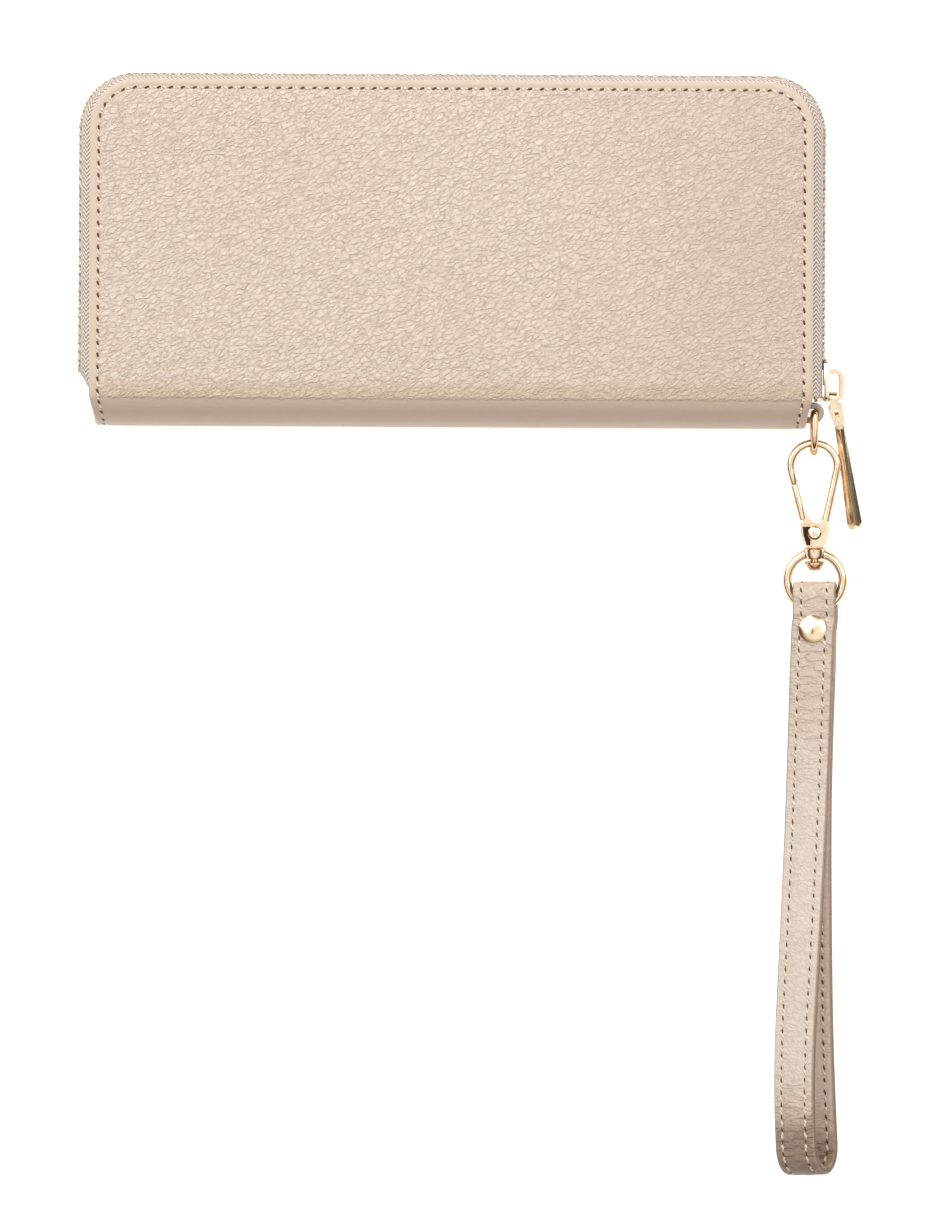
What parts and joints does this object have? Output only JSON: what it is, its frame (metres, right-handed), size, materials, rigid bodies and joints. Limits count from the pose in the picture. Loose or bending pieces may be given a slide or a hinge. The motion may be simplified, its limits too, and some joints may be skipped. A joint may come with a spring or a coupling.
{
  "type": "zip around wallet",
  "caption": "Flat zip around wallet with rounded corners, inner card and coin pockets, a ridged zip puller and a wrist strap on a swivel snap hook",
  "frame": {"origin": "middle of the back cover's resting face", "axes": "X along the spine to the right, Y from the spine to the top edge, Z from the back cover to the front"},
  "size_m": [0.2098, 0.2937, 0.021],
  "materials": {
    "cover_leather": "pebbled grain",
    "board": "plain",
    "lining": "plain",
    "pocket_leather": "plain",
    "zip_tape": "plain",
    "zip_teeth": "plain",
    "gilt_metal": "polished"
  },
  "bodies": {
    "back_half": {"back_cover": "cover_leather", "back_board": "board", "back_lining": "lining", "back_card_pocket_1": "pocket_leather", "back_card_pocket_2": "pocket_leather", "back_card_pocket_3": "pocket_leather", "back_card_pocket_4": "pocket_leather", "back_zip_tape": "zip_tape", "back_zip_teeth": "zip_teeth", "back_zip_teeth_right": "zip_teeth", "back_zip_stop": "zip_teeth", "back_gusset_left": "lining", "back_gusset_right": "lining", "spine_fold": "cover_leather", "corner_tab": "cover_leather", "corner_tab_filler": "cover_leather"},
    "front_half": {"front_cover": "cover_leather", "front_board": "board", "front_lining": "lining", "front_card_pocket_1": "pocket_leather", "front_card_pocket_2": "pocket_leather", "front_card_pocket_3": "pocket_leather", "front_card_pocket_4": "pocket_leather", "front_zip_tape": "zip_tape", "front_zip_teeth": "zip_teeth", "front_zip_teeth_right": "zip_teeth", "front_zip_stop": "zip_teeth", "front_gusset_left": "lining", "front_gusset_right": "lining"},
    "coin_pouch": {"coin_pouch_back": "lining", "coin_pouch_front": "lining", "coin_zip_tape": "zip_tape", "coin_zip_teeth": "zip_teeth"},
    "coin_slider": {"coin_zip_slider": "gilt_metal"},
    "coin_pull": {"coin_zip_pull": "gilt_metal"},
    "slider": {"zip_slider": "gilt_metal"},
    "link": {"pull_link": "gilt_metal", "pull_pin": "gilt_metal"},
    "puller": {"pull_bar": "gilt_metal"},
    "d_ring": {"corner_ring": "gilt_metal"},
    "snap_hook": {"snap_hook_frame": "gilt_metal", "gate_rivet": "gilt_metal", "gate_spring": "gilt_metal", "swivel_pin": "gilt_metal", "swivel_washer": "gilt_metal"},
    "hook_gate": {"snap_hook_gate": "gilt_metal"},
    "swivel_ring": {"strap_ring": "gilt_metal"},
    "strap": {"wrist_strap": "cover_leather", "strap_turn": "cover_leather", "strap_tail": "cover_leather", "strap_rivet_cap": "gilt_metal", "strap_rivet_post": "gilt_metal"}
  },
  "joints": [
    {"name": "cover_open", "type": "hinge", "parent": "back_half", "child": "front_half", "pos_m": [0, -0.0457, 0.0105], "axis": [1, 0, 0], "range_deg": [0, 75], "deforming": ["spine_fold", "back_gusset_left", "back_gusset_right", "front_gusset_left", "front_gusset_right"]},
    {"name": "pouch_swing", "type": "hinge", "parent": "back_half", "child": "coin_pouch", "pos_m": [0, -0.0457, 0.0105], "axis": [1, 0, 0], "range_deg": [0, 37.5]},
    {"name": "slider_travel", "type": "slide", "parent": "back_half", "child": "slider", "axis": [0, 1, 0], "range_m": [0, 0.058], "deforming": ["back_zip_teeth_right", "front_zip_teeth_right"]},
    {"name": "pull_link_swing", "type": "hinge", "parent": "slider", "child": "link", "pos_m": [0.1021, -0.0382, 0.0105], "axis": [-1, 0, 0], "range_deg": [0, 100]},
    {"name": "pull_bar_swing", "type": "hinge", "parent": "link", "child": "puller", "pos_m": [0.10354, -0.04325, 0.00924], "axis": [0, -0.2419, 0.9703], "range_deg": [0, 80]},
    {"name": "corner_ring_swing", "type": "hinge", "parent": "back_half", "child": "d_ring", "pos_m": [0.0971, -0.042, 0.0105], "axis": [0, 0, 1], "range_deg": [-15, 6]},
    {"name": "hook_swing", "type": "hinge", "parent": "d_ring", "child": "snap_hook", "pos_m": [0.097, -0.05005, 0.0092], "axis": [-0.9998, -0.0192, 0], "range_deg": [-8, 50]},
    {"name": "gate_open", "type": "hinge", "parent": "snap_hook", "child": "hook_gate", "pos_m": [0.09746, -0.07392, 0.00671], "axis": [-0.002, 0.1036, -0.9946], "range_deg": [0, 22], "stiffness_Nm_per_rad": 0.0005},
    {"name": "swivel_turn", "type": "hinge", "parent": "snap_hook", "child": "swivel_ring", "pos_m": [0.09755, -0.07889, 0.0062], "axis": [0.0191, -0.9944, -0.1036], "continuous": true},
    {"name": "strap_swing", "type": "hinge", "parent": "swivel_ring", "child": "strap", "pos_m": [0.09784, -0.09381, 0.00464], "axis": [-0.9904, -0.0046, -0.1384], "range_deg": [-70, 75], "deforming": ["strap_turn"]},
    {"name": "coin_slider_travel", "type": "slide", "parent": "coin_pouch", "child": "coin_slider", "axis": [-1, 0, 0], "range_m": [0, 0.135], "deforming": ["coin_zip_teeth"]},
    {"name": "coin_pull_swing", "type": "hinge", "parent": "coin_slider", "child": "coin_pull", "pos_m": [0.0836, 0.0392, 0.0105], "axis": [0, 0, -1], "range_deg": [0, 60]}
  ],
  "couplings": [
    {"joint": "pouch_swing", "follows": "cover_open", "ratio": 0.5}
  ]
}
